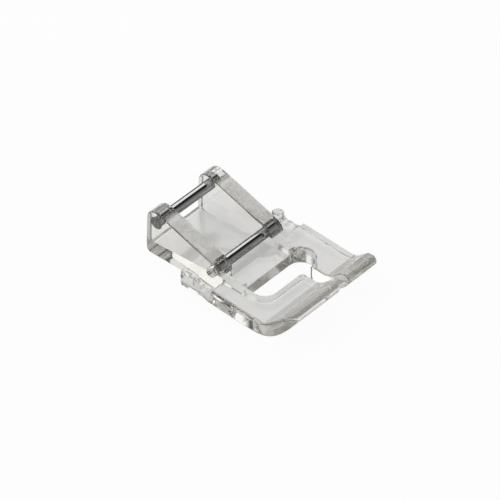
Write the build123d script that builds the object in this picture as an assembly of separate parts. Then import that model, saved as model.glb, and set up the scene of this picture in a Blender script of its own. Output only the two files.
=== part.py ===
from build123d import *
import math
import os

# Clear two-pin clip-on presser foot, in millimetres.
# +X is the operator's right, -Y is towards the toes, +Z is up, the sole lies on Z = 0.
# Sizes that end in _B are distances forwards from the back of the rear boss.

# Overall
HEEL_PROUD = 0.2
PLATE_WIDTH = 24.0

# Cross pins
PIN_D = 2.0
PIN_EDGE = 0.15
PIN_FIT = 0.0
REAR_PIN_Z = 7.65
FRONT_PIN_B = 14.8
FRONT_PIN_Z = 3.5
PIN_SHORT = 1.6
REAR_PIN_SUNK = 0.4
FRONT_PIN_SUNK = 1.5
MOUTH_D = 2.5

# Cheeks and the floor between them
CHEEK_GAP = 10.0
CHEEK_WALL = 3.3
BOSS_R = 2.3
CHEEK_EDGE_R = 0.35
HEEL_Z = 3.0
HEEL_R = 1.0
FLOOR_REAR_T = 1.4
FLOOR_FRONT_T = 2.5

# Sole plate
PLATE_REAR_B = 17.4
PLATE_REAR_TOP = 3.9
PLATE_FRONT_TOP = 3.25
SIDE_RELIEF = 0.5
SOLE_LEVEL = 2.66
SOLE_LIP = 0.35
LEFT_CORNER_R = 4.8
LEFT_CORNER_PROUD = 0.25
LEFT_EDGE_R = 0.6
RIGHT_EDGE_R = 0.3

# Toes, curled up to a level crest and a round tip
TOE_TOP = 5.65
TIP_R = 1.0
CREST_R = 0.7
SOLE_CURL_R = 8.5
TOE_RUN = 6.1
TOP_CURL_R = 3.3
RAMP_DEG = 41.0

# Side fingers and the notch in front of each
LEFT_FINGER_B = 10.4
RIGHT_FINGER_B = 11.9
FINGER_SLANT = 0.7
FINGER_W = 1.8
FINGER_BOTTOM = 0.9
FINGER_END_R = 0.6
NOTCH_R = 2.25
NOTCH_B = 16.4
NOTCH_FLOOR = 2.5

# Needle slot, thread channel and the left edge of the sunk floor behind the slot
SLOT_REAR_B = 21.2
SLOT_LONG = 5.2
SLOT_LEFT = -7.1
SLOT_CORNER_R = 1.0
BAR_LONG = 2.6
CHANNEL_LEFT = 2.4
CHANNEL_RIGHT = 4.6
TOE_FLAT = 0.4
TOE_CORNER_R = 0.7
NOSE_CORNER_R = 0.8
SLOT_BEVEL = 0.2
SUNK_LEFT = -6.9

SLOT_FRONT_B = SLOT_REAR_B + SLOT_LONG
SLOT_RIGHT = CHANNEL_RIGHT + TOE_FLAT + SLOT_LONG / 2
TOP_CURL_B = SLOT_FRONT_B + BAR_LONG
TOE_B = TOP_CURL_B + TOE_RUN
REAR_Y = (TOE_B - HEEL_PROUD) / 2
HALF_W = PLATE_WIDTH / 2
CHEEK_IN = CHEEK_GAP / 2
CHEEK_OUT = CHEEK_IN + CHEEK_WALL
REAR_PIN_B = BOSS_R
TIP_B = TOE_B - TIP_R
TIP_Z = TOE_TOP - TIP_R
SOLE_CURL_B = TIP_B - math.sqrt((SOLE_CURL_R - TIP_R) ** 2 - (SOLE_CURL_R - TIP_Z) ** 2)
SIDE_RELIEF_B = SOLE_CURL_B - SOLE_LEVEL
TALL = REAR_PIN_Z + 2 * BOSS_R
PAST = 1.0
TOUCH = 0.001


def side(b, z):
    """A point of a side profile, b forwards of the rear boss and z above the sole."""
    return (REAR_Y - b, z)


def plan(x, b):
    """A point of a plan, x to the right and b forwards of the rear boss."""
    return (x, REAR_Y - b)


def polygon(points):
    return make_face(Polyline(*points, close=True))


def across(profile, x0, x1):
    """Extrude a side profile from x0 to x1."""
    return Pos(x0, 0, 0) * extrude(Plane.YZ * profile, x1 - x0)


def floor_z(b):
    """Height of the floor between the cheeks, which rises evenly towards the needle slot."""
    return FLOOR_REAR_T + (FLOOR_FRONT_T - FLOOR_REAR_T) * b / SLOT_REAR_B


def above_floor():
    behind = -HEEL_PROUD - PAST
    return polygon([side(behind, floor_z(behind)), side(SLOT_REAR_B, floor_z(SLOT_REAR_B)),
                    side(SLOT_REAR_B, TALL), side(behind, TALL)])


def touch_point(start, centre, radius):
    """Where a line from a point touches a circle that lies to the left of the line."""
    away = centre - start
    swing = math.degrees(math.asin(radius / away.length))
    return start + away.normalized().rotate(Axis.Z, -swing) * math.sqrt(away.length ** 2 - radius ** 2)


def cheek_profile():
    """Side view of a cheek: two bosses joined by a sloping top edge, over a wall down to the sole."""
    rear = Vector(*side(REAR_PIN_B, REAR_PIN_Z))
    front = Vector(*side(FRONT_PIN_B, FRONT_PIN_Z))
    along = (rear - front).normalized()
    lift = Vector(-along.Y, along.X) * BOSS_R
    nose = FRONT_PIN_B + BOSS_R
    heel = Vector(*side(-HEEL_PROUD, 0))
    calf = Vector(*side(-HEEL_PROUD, HEEL_Z))
    wall = polygon([heel, calf, touch_point(calf, rear, BOSS_R), rear, rear + lift, front + lift, front,
                    side(nose, FRONT_PIN_Z), side(nose, 0)])
    wall = fillet(wall.vertices().sort_by_distance(heel)[0], HEEL_R)
    return wall + Pos(rear) * Circle(BOSS_R) + Pos(front) * Circle(BOSS_R)


def carrier():
    """Both cheeks and the floor between them, hollowed from one block, with rounded rims."""
    block = across(cheek_profile(), -CHEEK_OUT, CHEEK_OUT) - across(above_floor(), -CHEEK_IN, CHEEK_IN)
    lines = block.edges().filter_by(Axis.X, reverse=True)
    rims = lines.filter_by(lambda line: abs(line.center().X) > CHEEK_IN + CHEEK_EDGE_R
                           or line.center().Z > FLOOR_FRONT_T)
    return fillet(rims, CHEEK_EDGE_R)


def plate_profile():
    """Side view of the sole plate: the sole curls up round the tip, and the top ramps up to the crest."""
    tip = Vector(*side(TIP_B, TIP_Z))
    sole_start = Vector(*side(SOLE_CURL_B, 0))
    sole_end = tip + (tip - sole_start - Vector(0, SOLE_CURL_R)).normalized() * TIP_R
    tip_top = tip + Vector(0, TIP_R)
    rear_top = Vector(*side(PLATE_REAR_B, PLATE_REAR_TOP))
    front_top = Vector(*side(TOP_CURL_B, PLATE_FRONT_TOP))
    ahead = (front_top - rear_top).normalized()
    climb = Vector(-1, 0).rotate(Axis.Z, -RAMP_DEG)
    ramp = front_top + (Vector(ahead.Y, -ahead.X) - Vector(climb.Y, -climb.X)) * TOP_CURL_R
    crest = ramp + climb * ((TOE_TOP - ramp.Y) / climb.Y)
    rear_b = LEFT_FINGER_B - PAST
    finger_top = rear_top - ahead * (PLATE_REAR_B - rear_b)
    under = Polyline(finger_top, side(rear_b, FINGER_BOTTOM), side(PLATE_REAR_B - PAST, FINGER_BOTTOM),
                     side(PLATE_REAR_B, SIDE_RELIEF), side(SIDE_RELIEF_B, 0), sole_start)
    curls = [TangentArc(sole_start, sole_end, tangent=(-1, 0)),
             ThreePointArc(sole_end, side(TOE_B, tip.Y), tip_top),
             TangentArc(front_top, ramp, tangent=ahead)]
    over = [*Polyline(tip_top, crest, ramp).edges(), Line(front_top, finger_top)]
    face = make_face([*under.edges(), *curls, *over])
    return fillet(face.vertices().sort_by_distance(crest)[0], CREST_R)


def finger_outline(rear_b):
    """Plan of the right rear edge of the plate, from the cheek out to the side of the finger."""
    finger_in = HALF_W - FINGER_W
    return [plan(CHEEK_OUT, FRONT_PIN_B), plan(CHEEK_OUT, PLATE_REAR_B), plan(finger_in, PLATE_REAR_B),
            plan(finger_in, rear_b), plan(HALF_W, rear_b + FINGER_SLANT)]


def plate_plan():
    """Plan of the sole plate: a finger reaches back from each side, and the front left corner is round."""
    left = [(-x, y) for x, y in reversed(finger_outline(LEFT_FINGER_B))]
    front_b = TOE_B + LEFT_CORNER_PROUD
    face = polygon([*finger_outline(RIGHT_FINGER_B), plan(HALF_W, front_b), plan(-HALF_W, front_b), *left])
    ends = face.vertices().filter_by(lambda end: abs(end.X) > CHEEK_OUT and end.Y > REAR_Y - NOTCH_B)
    face = fillet(ends, FINGER_END_R)
    corner = face.vertices().sort_by_distance((*plan(-HALF_W, front_b), 0))[0]
    return fillet(corner, LEFT_CORNER_R)


def plate():
    """Sole plate, its edges rounded along the sides and round the toes, with a notch before each finger."""
    slab = extrude(plate_plan(), TALL) & across(plate_profile(), -HALF_W - PAST, HALF_W + PAST)
    for hand, edge_r in ((-1, LEFT_EDGE_R), (1, RIGHT_EDGE_R)):
        lines = slab.edges().filter_by(Axis.X, reverse=True).filter_by(Axis.Z, reverse=True)
        rims = lines.filter_by(lambda line: line.center().X * hand > HALF_W - edge_r
                               or line.center().X * hand > 0 and line.center().Y < REAR_Y - TOP_CURL_B)
        slab = fillet(rims, edge_r)
    notch = across(Pos(*side(NOTCH_B, NOTCH_FLOOR + NOTCH_R)) * Circle(NOTCH_R), CHEEK_OUT, HALF_W + PAST)
    return slab - notch - mirror(notch, Plane.YZ)


def channel_plan(rear_b):
    """Plan of the thread channel, which flares round the corners of the toes at the front."""
    front_b = TOE_B + LEFT_CORNER_PROUD
    ahead_b = front_b + PAST
    face = polygon([plan(CHANNEL_LEFT, rear_b), plan(CHANNEL_RIGHT, rear_b), plan(CHANNEL_RIGHT, front_b),
                    plan(HALF_W, front_b), plan(HALF_W, ahead_b), plan(-HALF_W, ahead_b),
                    plan(-HALF_W, front_b), plan(CHANNEL_LEFT, front_b)])
    corners = [(*plan(x, front_b), 0) for x in (CHANNEL_LEFT, CHANNEL_RIGHT)]
    return fillet([face.vertices().sort_by_distance(corner)[0] for corner in corners], NOSE_CORNER_R)


def slot_plan():
    """Plan of the needle slot with its round right end, and of the channel out to the front."""
    end_r = SLOT_LONG / 2
    mid_b = SLOT_REAR_B + end_r
    end_x = SLOT_RIGHT - end_r
    slot = polygon([plan(SLOT_LEFT, SLOT_REAR_B), plan(end_x, SLOT_REAR_B),
                    plan(end_x, SLOT_FRONT_B), plan(SLOT_LEFT, SLOT_FRONT_B)])
    corner = slot.vertices().sort_by_distance((*plan(SLOT_LEFT, SLOT_REAR_B), 0))[0]
    slot = fillet(corner, SLOT_CORNER_R)
    corner = slot.vertices().sort_by_distance((*plan(SLOT_LEFT, SLOT_FRONT_B), 0))[0]
    slot = fillet(corner, end_r)
    whole = slot + Pos(*plan(end_x, mid_b)) * Circle(end_r) + channel_plan(mid_b)
    toe = whole.vertices().sort_by_distance((*plan(CHANNEL_LEFT, SLOT_FRONT_B), 0))[0]
    return fillet(toe, TOE_CORNER_R)


def bevel_slot(body):
    """Breaks the edges of the slot and the channel, which run on round the toes, so no thread catches."""
    outline = slot_plan().face().outer_wire()

    def on_rim(line):
        middle = line @ 0.5
        return middle.Z > FLOOR_FRONT_T + TOUCH and outline.distance_to((middle.X, middle.Y, 0)) < TOUCH

    return chamfer(body.edges().filter_by(Axis.Z, reverse=True).filter_by(on_rim), SLOT_BEVEL)


def pin_bore(b, z, hand):
    """Bore through both cheeks, with a countersunk mouth in the outer face on the hand's side."""
    axis = Pos(*side(b, z))
    bore_r = PIN_D / 2 + PIN_FIT
    sink = MOUTH_D / 2 - bore_r
    mouth = loft([Plane.YZ.offset(hand * (CHEEK_OUT - sink)) * axis * Circle(bore_r),
                  Plane.YZ.offset(hand * CHEEK_OUT) * axis * Circle(MOUTH_D / 2)])
    return across(axis * Circle(bore_r), -HALF_W, HALF_W) + mouth


def foot_body():
    """The whole moulding: plate, carrier and the level sole that joins them, less slot and pin bores."""
    joint = polygon([side(FRONT_PIN_B, 0), side(SIDE_RELIEF_B, 0), side(SLOT_REAR_B, floor_z(SLOT_REAR_B)),
                     side(FRONT_PIN_B, floor_z(FRONT_PIN_B))])
    body = plate() - across(above_floor(), SUNK_LEFT, CHEEK_IN)
    body = body + carrier() + across(joint, SLOT_LEFT - SOLE_LIP, SLOT_RIGHT + SOLE_LIP)
    body = bevel_slot(body - extrude(slot_plan(), TALL))
    body -= pin_bore(REAR_PIN_B, REAR_PIN_Z, -1)
    return body - pin_bore(FRONT_PIN_B, FRONT_PIN_Z, 1)


def pin(b, z, sunk):
    """Cross pin, a little shorter than the width over the cheeks, with its left end sunk in the boss."""
    left = sunk - CHEEK_OUT
    bar = across(Pos(*side(b, z)) * Circle(PIN_D / 2), left, left + 2 * CHEEK_OUT - PIN_SHORT)
    return chamfer(bar.edges().filter_by(GeomType.CIRCLE), PIN_EDGE)


parts = {
    "foot_body": foot_body(),
    "rear_pin": pin(REAR_PIN_B, REAR_PIN_Z, REAR_PIN_SUNK),
    "front_pin": pin(FRONT_PIN_B, FRONT_PIN_Z, FRONT_PIN_SUNK),
}

os.makedirs("parts", exist_ok=True)
for name, solid in parts.items():
    export_step(solid, f"parts/{name}.step")
    print(name, round(solid.volume, 2), solid.bounding_box())
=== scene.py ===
import math

import bmesh
import bpy
import numpy as np
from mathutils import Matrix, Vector


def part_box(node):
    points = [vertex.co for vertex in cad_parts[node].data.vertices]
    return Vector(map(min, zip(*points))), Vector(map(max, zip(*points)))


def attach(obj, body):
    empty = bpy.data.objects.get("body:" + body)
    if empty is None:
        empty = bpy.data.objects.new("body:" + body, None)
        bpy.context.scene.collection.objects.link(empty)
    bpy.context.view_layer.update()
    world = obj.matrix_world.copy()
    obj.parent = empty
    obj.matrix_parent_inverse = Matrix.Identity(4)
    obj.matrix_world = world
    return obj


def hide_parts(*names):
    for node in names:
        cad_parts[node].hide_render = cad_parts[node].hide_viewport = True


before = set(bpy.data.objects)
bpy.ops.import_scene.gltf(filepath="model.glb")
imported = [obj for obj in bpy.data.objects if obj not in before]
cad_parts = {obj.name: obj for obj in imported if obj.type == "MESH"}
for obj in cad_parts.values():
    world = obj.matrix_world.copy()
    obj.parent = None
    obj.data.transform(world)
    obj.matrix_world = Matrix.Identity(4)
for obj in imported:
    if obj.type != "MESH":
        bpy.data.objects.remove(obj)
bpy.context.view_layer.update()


# Foot body: one injection moulding in clear polycarbonate, polished in the mould.
# Plate, toes, cheeks and floor are a single piece, so light runs freely from one to the other.
# Flow shows faintly in the walls, and cloth and thread leave a fine grain where they rub.
PLASTIC_IOR = 1.585
PLASTIC_DEPTH = (0.55, 0.50, 0.37, 1)
PLASTIC_DENSITY = 22.0
PLASTIC_BLUE = 0.99
GRAIN_SHADE = (0.8, 0.79, 0.76, 1)
GRAIN_ROUGH = 0.5
FLOW_SCALE = 220.0
FLOW_HEIGHT = 0.0002
FLOW_STRENGTH = 0.05
FLOW_TINT = (0.3, 0.7, 0.95, 1.0)
RUB_SCALE = 1000.0
RUB_ROUGH = (0.4, 0.7, 0.01, 0.04)
NOSE_FADE = (-0.0125, -0.0150)
NOSE_GRAIN = 0.16
SLOT_WALL_Y = -0.0036
SLOT_END_SQUARED = (5.0e-5, 4.8e-5)
ROUND_END_X = 0.005
ROUND_END_Y = -0.0062
ROUND_END_R = 0.0026
ROUND_END_FADE = (0.0050, 0.0052, 0.0, 0.6)
STEP_WALL_X = 0.005
STEP_FADE = (0.0004, -0.0004)
WALL_REACH = 0.0001
WALL_ROUGH = 0.3
WALL_GRAIN = 0.48
SLOPE_BACK = 0.3151
SLOPE_UP = 0.9491
SLOPE_OFFSET = 0.0047868
SLOPE_REACH = 0.0000316
SLOPE_FRONT_FADE = (0.0036, 0.0046)
SLOPE_REAR_FADE = (0.0137, 0.0127)
SLOPE_GRAIN = (0.35, 0.65, 0.4, 0.75)


class Wire:
    """One output of a node tree; arithmetic on it adds Math nodes."""

    def __init__(self, tree, output=None):
        self.tree = tree
        self.output = output

    def node(self, kind, settings=(), sockets=(), take=0):
        """Adds a node of that kind, sets it up, fills its sockets and gives one of its outputs."""
        made = self.tree.nodes.new("ShaderNode" + kind)
        for name, value in dict(settings).items():
            setattr(made, name, value)
        for key, value in dict(sockets).items():
            if isinstance(value, Wire):
                self.tree.links.new(value.output, made.inputs[key])
            else:
                made.inputs[key].default_value = value
        return Wire(self.tree, made.outputs[take] if made.outputs else None)

    def maths(self, operation, first, second):
        return self.node("Math", {"operation": operation}, {0: first, 1: second})

    def __add__(self, other):
        return self.maths("ADD", self, other)

    __radd__ = __add__

    def __sub__(self, other):
        return self.maths("SUBTRACT", self, other)

    def __rsub__(self, other):
        return self.maths("SUBTRACT", other, self)

    def __mul__(self, other):
        return self.maths("MULTIPLY", self, other)

    __rmul__ = __mul__

    def top(self, other):
        return self.maths("MAXIMUM", self, other)

    def fade(self, start, end, low=0.0, high=1.0):
        """Goes from low to high as this value goes from start to end, and stays level outside."""
        return self.node("MapRange", {}, {0: self, 1: start, 2: end, 3: low, 4: high})

    def near(self, place, reach):
        """One where this value is within reach of a place, falling to nothing at twice the reach."""
        off = self - place
        return (off * off).fade(4 * reach * reach, reach * reach)


def new_material(name):
    """An empty material and a wire to build its nodes with."""
    material = bpy.data.materials.new(name)
    material.use_nodes = True
    material.node_tree.nodes.clear()
    return material, Wire(material.node_tree)


def clear_plastic():
    """Clear polycarbonate, with grain on the cheeks' sloping edges, the noses and the slot's walls."""
    material, wire = new_material("clear_plastic")
    place = wire.node("TexCoord", take="Object")
    side = wire.node("SeparateXYZ", {}, {0: place}, "X")
    back = wire.node("SeparateXYZ", {}, {0: place}, "Y")
    rise = wire.node("SeparateXYZ", {}, {0: place}, "Z")
    flow = wire.node("TexNoise", {}, {"Vector": place, "Scale": FLOW_SCALE, "Detail": 1.0})
    rubs = wire.node("TexNoise", {}, {"Vector": place, "Scale": RUB_SCALE, "Detail": 3.0})
    bump = wire.node("Bump", {}, {"Height": flow, "Strength": FLOW_STRENGTH, "Distance": FLOW_HEIGHT})
    nose = back.fade(*NOSE_FADE) * NOSE_GRAIN
    slot_wall = back.near(SLOT_WALL_Y, WALL_REACH) * (side * side).fade(*SLOT_END_SQUARED)
    from_x = side - ROUND_END_X
    from_y = back - ROUND_END_Y
    round_end = (from_x * from_x + from_y * from_y).near(ROUND_END_R ** 2, 2 * ROUND_END_R * WALL_REACH)
    slot_wall = slot_wall.top(round_end * side.fade(*ROUND_END_FADE))
    step_wall = side.near(STEP_WALL_X, WALL_REACH) * back.fade(*STEP_FADE)
    slope = (rise * SLOPE_UP - back * SLOPE_BACK).near(SLOPE_OFFSET, SLOPE_REACH)
    slope = slope * back.fade(*SLOPE_FRONT_FADE) * back.fade(*SLOPE_REAR_FADE)
    rough = rubs.fade(*RUB_ROUGH).top(nose).top(slot_wall.top(step_wall) * WALL_ROUGH)
    cover = (slope * rubs.fade(*SLOPE_GRAIN)).top(nose).top(slot_wall * WALL_GRAIN)
    tint = flow.fade(*FLOW_TINT)
    clear = wire.node("BsdfPrincipled", {}, {
        "Base Color": wire.node("CombineColor", {}, {0: tint, 1: tint, 2: tint * PLASTIC_BLUE}),
        "Roughness": rough, "IOR": PLASTIC_IOR, "Transmission Weight": 1.0, "Normal": bump})
    grain = wire.node("BsdfPrincipled", {}, {
        "Base Color": GRAIN_SHADE, "Roughness": GRAIN_ROUGH, "IOR": PLASTIC_IOR, "Normal": bump})
    depth = wire.node("VolumeAbsorption", {}, {"Color": PLASTIC_DEPTH, "Density": PLASTIC_DENSITY})
    surface = wire.node("MixShader", {}, {0: cover, 1: clear, 2: grain})
    wire.node("OutputMaterial", {}, {"Surface": surface, "Volume": depth})
    return material


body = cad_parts["foot_body"]
body.data.materials.clear()
body.data.materials.append(clear_plastic())


# Cross pins: two lengths of ground and polished steel bar, pressed through the bosses of the cheeks.
# The rear one goes in from the left and the front one from the right, and each is upset there
# into a countersunk mouth, flush with the outer face. The other end has a small chamfer.
PIN_TURNS = 128
PIN_EDGE = 0.00015
PIN_COVER = 0.000004
PIN_MERGE = 1e-7
PIN_SHARP = math.radians(30)
HEAD_X = 0.00829
HEAD_R = 0.00125
END_FACING = 0.8
STEEL_SHADE = (0.38, 0.38, 0.38, 1)
# Edge tint held well below real steel's, so the pins' grazing rims come out dark: painted shade.
STEEL_RIM_PAINTED_SHADE = (0.3, 0.3, 0.3, 1)
STEEL_ROUGH = 0.03
TURNING_MARKS = (30000.0, 800.0, 800.0)
TURNING_ROUGH = 0.1
END_SHADES = (0.35, 0.65, 0.12, 0.30)
END_GREEN = 0.98
END_BLUE = 0.88
END_ROUGH = 0.35
END_PATCHES = 2200.0
END_SCRATCHES = (900.0, 900.0, 9000.0)
SCRATCH_ROUGH = 0.3


def turned_bar(near, far, radius, hand):
    """A profile (x, r) of head, side, chamfer and end, turned about X: (x, r cos turn, r sin turn)."""
    x = np.array([HEAD_X, HEAD_X, near, far + PIN_EDGE, far, far]) * hand
    r = np.array([0.0, HEAD_R, radius, radius, radius - PIN_EDGE, 0.0])
    ring = np.arange(PIN_TURNS)
    turn = ring * 2 * math.pi / PIN_TURNS
    points = np.stack([np.broadcast_to(x[:, None], (len(x), PIN_TURNS)),
                       r[:, None] * np.cos(turn), r[:, None] * np.sin(turn)], -1)
    rows = np.arange(len(x) - 1)[:, None] * PIN_TURNS
    following = (ring + 1) % PIN_TURNS
    faces = np.stack([rows + ring, rows + following,
                      rows + PIN_TURNS + following, rows + PIN_TURNS + ring], -1)
    return points.reshape(-1, 3), faces.reshape(-1, 4)


def polished_steel():
    """Ground bar: bright steel with fine marks that run round it, and painted shade along its grazing
    rims.
    """
    material, wire = new_material("pin_steel")
    place = wire.node("TexCoord", take="Object")
    around = wire.node("Mapping", {}, {"Vector": place, "Scale": TURNING_MARKS})
    marks = wire.node("TexNoise", {}, {"Vector": around, "Scale": 1.0, "Detail": 3.0})
    shader = wire.node("BsdfPrincipled", {}, {
        "Base Color": STEEL_SHADE, "Metallic": 1.0, "Roughness": marks * TURNING_ROUGH + STEEL_ROUGH,
        "Specular Tint": STEEL_RIM_PAINTED_SHADE})
    wire.node("OutputMaterial", {}, {"Surface": shader})
    return material


def cut_steel():
    """Cut end of the bar: dull and a little dark, with patches and fine scratches across it."""
    material, wire = new_material("pin_end")
    place = wire.node("TexCoord", take="Object")
    across = wire.node("Mapping", {}, {"Vector": place, "Scale": END_SCRATCHES})
    marks = wire.node("TexNoise", {}, {"Vector": across, "Scale": 1.0, "Detail": 3.0})
    patch = wire.node("TexNoise", {}, {"Vector": place, "Scale": END_PATCHES, "Detail": 3.0})
    shade = patch.fade(*END_SHADES)
    shader = wire.node("BsdfPrincipled", {}, {
        "Base Color": wire.node("CombineColor", {}, {0: shade, 1: shade * END_GREEN, 2: shade * END_BLUE}),
        "Metallic": 1.0, "Roughness": marks * SCRATCH_ROUGH + END_ROUGH})
    wire.node("OutputMaterial", {}, {"Surface": shader})
    return material


pin_steel = polished_steel()
pin_end = cut_steel()
for node, hand in (("rear_pin", -1), ("front_pin", 1)):
    low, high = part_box(node)
    middle = (low + high) / 2
    far, near = sorted((low.x * hand, high.x * hand))
    points, faces = turned_bar(near, far, (high.z - low.z) / 2 + PIN_COVER, hand)
    mesh = bpy.data.meshes.new(node + "_bar")
    mesh.from_pydata((points + np.array([0, middle.y, middle.z])).tolist(), [], faces.tolist())
    bm = bmesh.new()
    bm.from_mesh(mesh)
    bmesh.ops.remove_doubles(bm, verts=bm.verts, dist=PIN_MERGE)
    bmesh.ops.recalc_face_normals(bm, faces=bm.faces)
    bm.to_mesh(mesh)
    bm.free()
    mesh.shade_smooth()
    mesh.set_sharp_from_angle(angle=PIN_SHARP)
    mesh.materials.append(pin_steel)
    mesh.materials.append(pin_end)
    normals = np.empty(3 * len(mesh.polygons), np.float32)
    mesh.polygons.foreach_get("normal", normals)
    mesh.polygons.foreach_set("material_index", (np.abs(normals[::3]) > END_FACING).astype(np.int32))
    bar = bpy.data.objects.new(node + "_bar", mesh)
    bpy.context.scene.collection.objects.link(bar)
    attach(bar, "root")
    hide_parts(node)


# Floor: a wide sheet of white paper that the foot stands on, just clear of the sole.
# It shows white to the eye, in the steel and through the plastic, and still takes a soft shadow.
FLOOR_DROP = 0.0001
FLOOR_HALF = 3.0
PAPER_SHADE = (0.8, 0.8, 0.8, 1)
WHITE_TO_EYE = 0.95
WHITE_IN_STEEL = 0.3
WHITE_IN_PLASTIC = 0.45


def white_floor():
    """White paper that is part lit and part plain white, by whether eye, steel or plastic sees it."""
    material, wire = new_material("white_floor")
    sight = wire.node("LightPath", take="Is Camera Ray")
    glossy = wire.node("LightPath", take="Is Glossy Ray")
    through = wire.node("LightPath", take="Is Transmission Ray")
    seen = (sight * WHITE_TO_EYE).top(glossy * WHITE_IN_STEEL).top(through * WHITE_IN_PLASTIC)
    paper = wire.node("BsdfDiffuse", {}, {"Color": PAPER_SHADE})
    white = wire.node("Emission", {}, {"Color": (1, 1, 1, 1), "Strength": 1.0})
    wire.node("OutputMaterial", {}, {"Surface": wire.node("MixShader", {}, {0: seen, 1: paper, 2: white})})
    return material


mesh = bpy.data.meshes.new("floor")
corner = np.array([[-1, -1, 0], [1, -1, 0], [1, 1, 0], [-1, 1, 0]]) * FLOOR_HALF
mesh.from_pydata((corner - np.array([0, 0, FLOOR_DROP])).tolist(), [], [(0, 1, 2, 3)])
mesh.materials.append(white_floor())
floor = bpy.data.objects.new("floor", mesh)
bpy.context.scene.collection.objects.link(floor)


# Light: a broad soft box behind and overhead and a smaller one at the left, in dim surroundings.
# The steel shows the rear box above and the dim front below it, as bright and dark bands.
# Through the plastic the same surroundings show as a bright rear, a grey front and a dark top.
FRONT_IN_STEEL = (-0.4, -0.95, 0.03, 0.62)
REAR_IN_PLASTIC = (0.1, 0.45, 0.0, 1.25)
REAR_BY_HEIGHT = (0.3, 0.55, 0.3, 1.0)
FRONT_IN_PLASTIC = (-0.25, -0.5, 0.0, 0.33)
LOW_IN_PLASTIC = (0.3, 0.7, 0.36, 0.05)
BOUNCES = 32

world = bpy.data.worlds.new("surroundings")
world.use_nodes = True
world.node_tree.nodes.clear()
sky = Wire(world.node_tree)
sight = sky.node("LightPath", take="Is Camera Ray")
through = sky.node("LightPath", take="Is Transmission Ray")
toward = sky.node("TexCoord", take="Generated")
ahead = sky.node("SeparateXYZ", {}, {0: toward}, "Y")
up = sky.node("SeparateXYZ", {}, {0: toward}, "Z")
rear = ahead.fade(*REAR_IN_PLASTIC) * up.fade(*REAR_BY_HEIGHT)
in_plastic = rear.top(ahead.fade(*FRONT_IN_PLASTIC)).top(up.fade(*LOW_IN_PLASTIC))
glow = ahead.fade(*FRONT_IN_STEEL).top(through * in_plastic)
room = sky.node("Background", {}, {"Color": (1, 1, 1, 1), "Strength": glow})
white = sky.node("Background", {}, {"Color": (1, 1, 1, 1), "Strength": 1.0})
sky.node("OutputWorld", {}, {"Surface": sky.node("MixShader", {}, {0: sight, 1: room, 2: white})})
bpy.context.scene.world = world


def soft_box(name, place, size, radiance):
    """A rectangular soft box at a place, turned to the foot, of an even brightness."""
    light = bpy.data.lights.new(name, "AREA")
    light.shape = "RECTANGLE"
    light.size, light.size_y = size
    light.energy = radiance * math.pi * size[0] * size[1]
    lamp = bpy.data.objects.new(name, light)
    lamp.location = place
    lamp.rotation_euler = (-Vector(place)).to_track_quat("-Z", "Y").to_euler()
    lamp.visible_transmission = False
    bpy.context.scene.collection.objects.link(lamp)


soft_box("rear_box", place=(0.15, 0.64, 0.64), size=(2.4, 0.84), radiance=2.0)
soft_box("left_box", place=(-0.7, 0.0, 0.8), size=(1.2, 0.7), radiance=1.6)
bpy.context.scene.cycles.max_bounces = BOUNCES
bpy.context.scene.cycles.transmission_bounces = BOUNCES
bpy.context.scene.cycles.glossy_bounces = BOUNCES


# Camera: a long lens, high on the front left, level from side to side.
# Its place, direction and lens put the foot where the photograph has it.
CAMERA_PLACE = (-0.54440, -0.48112, 0.63515)
CAMERA_AZIMUTH = math.radians(48.476)
CAMERA_ELEVATION = math.radians(40.944)
LENS = 402.45
SENSOR = 36.0

view = Vector((math.cos(CAMERA_ELEVATION) * math.sin(CAMERA_AZIMUTH),
               math.cos(CAMERA_ELEVATION) * math.cos(CAMERA_AZIMUTH), -math.sin(CAMERA_ELEVATION)))
lens = bpy.data.cameras.new("camera")
lens.lens = LENS
lens.sensor_width = SENSOR
camera = bpy.data.objects.new("camera", lens)
camera.location = CAMERA_PLACE
camera.rotation_euler = view.to_track_quat("-Z", "Y").to_euler()
bpy.context.scene.collection.objects.link(camera)
bpy.context.scene.camera = camera
bpy.context.scene.view_settings.view_transform = "Standard"
